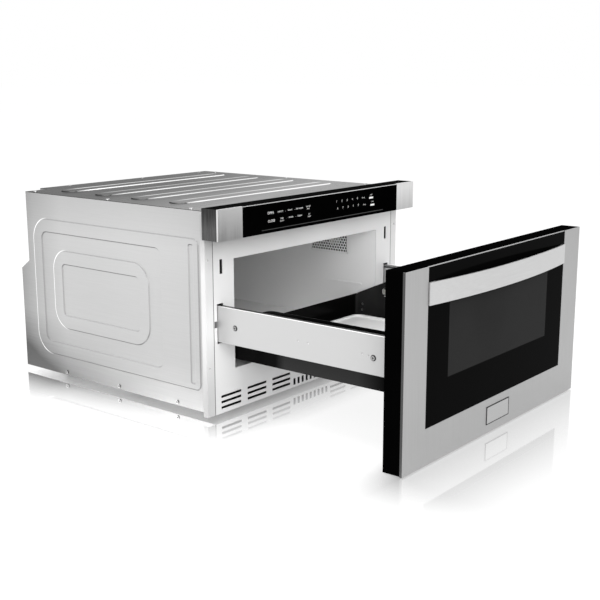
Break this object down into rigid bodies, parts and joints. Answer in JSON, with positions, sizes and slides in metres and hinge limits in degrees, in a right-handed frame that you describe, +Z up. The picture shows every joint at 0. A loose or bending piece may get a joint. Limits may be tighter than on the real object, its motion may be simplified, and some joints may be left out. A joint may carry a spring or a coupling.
{
  "type": "microwave drawer",
  "caption": "Built-in microwave oven that opens as a powered drawer, with a flat steel and black glass front, bowed strip handle and touch panel above.",
  "frame": {"origin": "centre of the body's underside, on the flat face of the middle pressed bead that it stands on", "axes": "+X to the right as seen from the front, +Y from the front to the back, +Z up"},
  "size_m": [0.606, 0.99, 0.3883],
  "materials": {
    "galvanised": "bright zinc-coated sheet steel",
    "brushed_front": "brushed stainless steel",
    "white_enamel": "white painted steel",
    "grey_enamel": "light grey oven enamel",
    "zinc_plate": "light zinc-plated steel",
    "black_enamel": "glossy black enamel",
    "black_paint": "gloss black painted steel",
    "panel_box": "dark grey painted steel",
    "black_glass": "black glass, printed on the back",
    "white_glass": "opal glass",
    "screen": "dark perforated steel",
    "slide_steel": "rolled bright steel",
    "acetal": "off-white moulded acetal",
    "black_plastic": "black moulded plastic",
    "switch_plastic": "black switch moulding on a steel angle",
    "circuit_board": "green circuit board",
    "aluminium": "mill finish",
    "motor_steel": "laminated and plated steel",
    "transformer": "varnished laminations",
    "capacitor_can": "drawn can",
    "mica": "pale mica board",
    "lamp": "clear bulb",
    "screws": "plated steel"
  },
  "bodies": {
    "chassis": {"base_pan": "galvanised", "top_cover": "galvanised", "rear_panel": "galvanised", "side_panel_left": "galvanised", "side_panel_right": "galvanised", "front_frame": "white_enamel", "cavity_floor": "grey_enamel", "cavity_rear_wall": "grey_enamel", "cavity_roof": "grey_enamel", "cavity_wall_left": "grey_enamel", "cavity_wall_right": "grey_enamel", "vent_screen": "grey_enamel", "slide_bracket_left": "galvanised", "slide_bracket_right": "galvanised", "slide_outer_left": "slide_steel", "slide_outer_right": "slide_steel", "drive_bracket": "galvanised", "drive_motor": "motor_steel", "control_housing": "panel_box", "control_board": "circuit_board", "control_glass": "black_glass", "control_cap_left": "brushed_front", "control_cap_right": "brushed_front", "waveguide": "aluminium", "magnetron": "aluminium", "fan_shroud": "black_plastic", "fan_motor": "motor_steel", "stirrer_motor": "motor_steel", "stirrer_cover": "mica", "transformer": "transformer", "capacitor": "capacitor_can", "filter_board": "circuit_board", "air_duct": "galvanised", "oven_lamp": "lamp", "thermal_cutouts": "switch_plastic", "cord_gland": "black_plastic", "chassis_screws": "screws", "interlock_left": "switch_plastic", "interlock_right": "switch_plastic"},
    "drawer": {"drawer_tub": "black_enamel", "glass_tray": "white_glass", "side_plate_left": "zinc_plate", "side_plate_right": "zinc_plate", "slide_inner_left": "slide_steel", "slide_inner_right": "slide_steel", "drive_rack": "acetal", "door_back_plate": "black_paint", "door_shell": "black_paint", "choke_ring": "galvanised", "door_trim": "brushed_front", "door_glass": "black_glass", "window_screen": "screen", "handle": "brushed_front", "latch_hooks": "zinc_plate", "drawer_screws": "screws"},
    "slide_member_left": {"slide_middle_left": "slide_steel"},
    "slide_member_right": {"slide_middle_right": "slide_steel"},
    "pinion": {"drive_pinion": "acetal"},
    "fan": {"fan_wheel": "black_plastic"},
    "stirrer": {"stirrer": "aluminium"}
  },
  "joints": [
    {"name": "drawer_slide", "type": "slide", "parent": "chassis", "child": "drawer", "axis": [0, 1, 0], "range_m": [0, 0.3825]},
    {"name": "slide_left", "type": "slide", "parent": "chassis", "child": "slide_member_left", "axis": [0, 1, 0], "range_m": [0, 0.19125]},
    {"name": "slide_right", "type": "slide", "parent": "chassis", "child": "slide_member_right", "axis": [0, 1, 0], "range_m": [0, 0.19125]},
    {"name": "pinion_spin", "type": "hinge", "parent": "chassis", "child": "pinion", "pos_m": [0.244, -0.2415, 0.15], "axis": [0, 0, 1], "range_deg": [-5, 1832]},
    {"name": "fan_spin", "type": "hinge", "parent": "chassis", "child": "fan", "pos_m": [-0.16, 0.2265, 0.1785], "axis": [1, 0, 0], "continuous": true},
    {"name": "stirrer_spin", "type": "hinge", "parent": "chassis", "child": "stirrer", "pos_m": [0, -0.0605, 0.308], "axis": [0, 0, 1], "continuous": true}
  ],
  "couplings": [
    {"joint": "slide_left", "follows": "drawer_slide", "ratio": 0.5},
    {"joint": "slide_right", "follows": "drawer_slide", "ratio": 0.5},
    {"joint": "pinion_spin", "follows": "drawer_slide", "rad_per_m": 83.333}
  ]
}
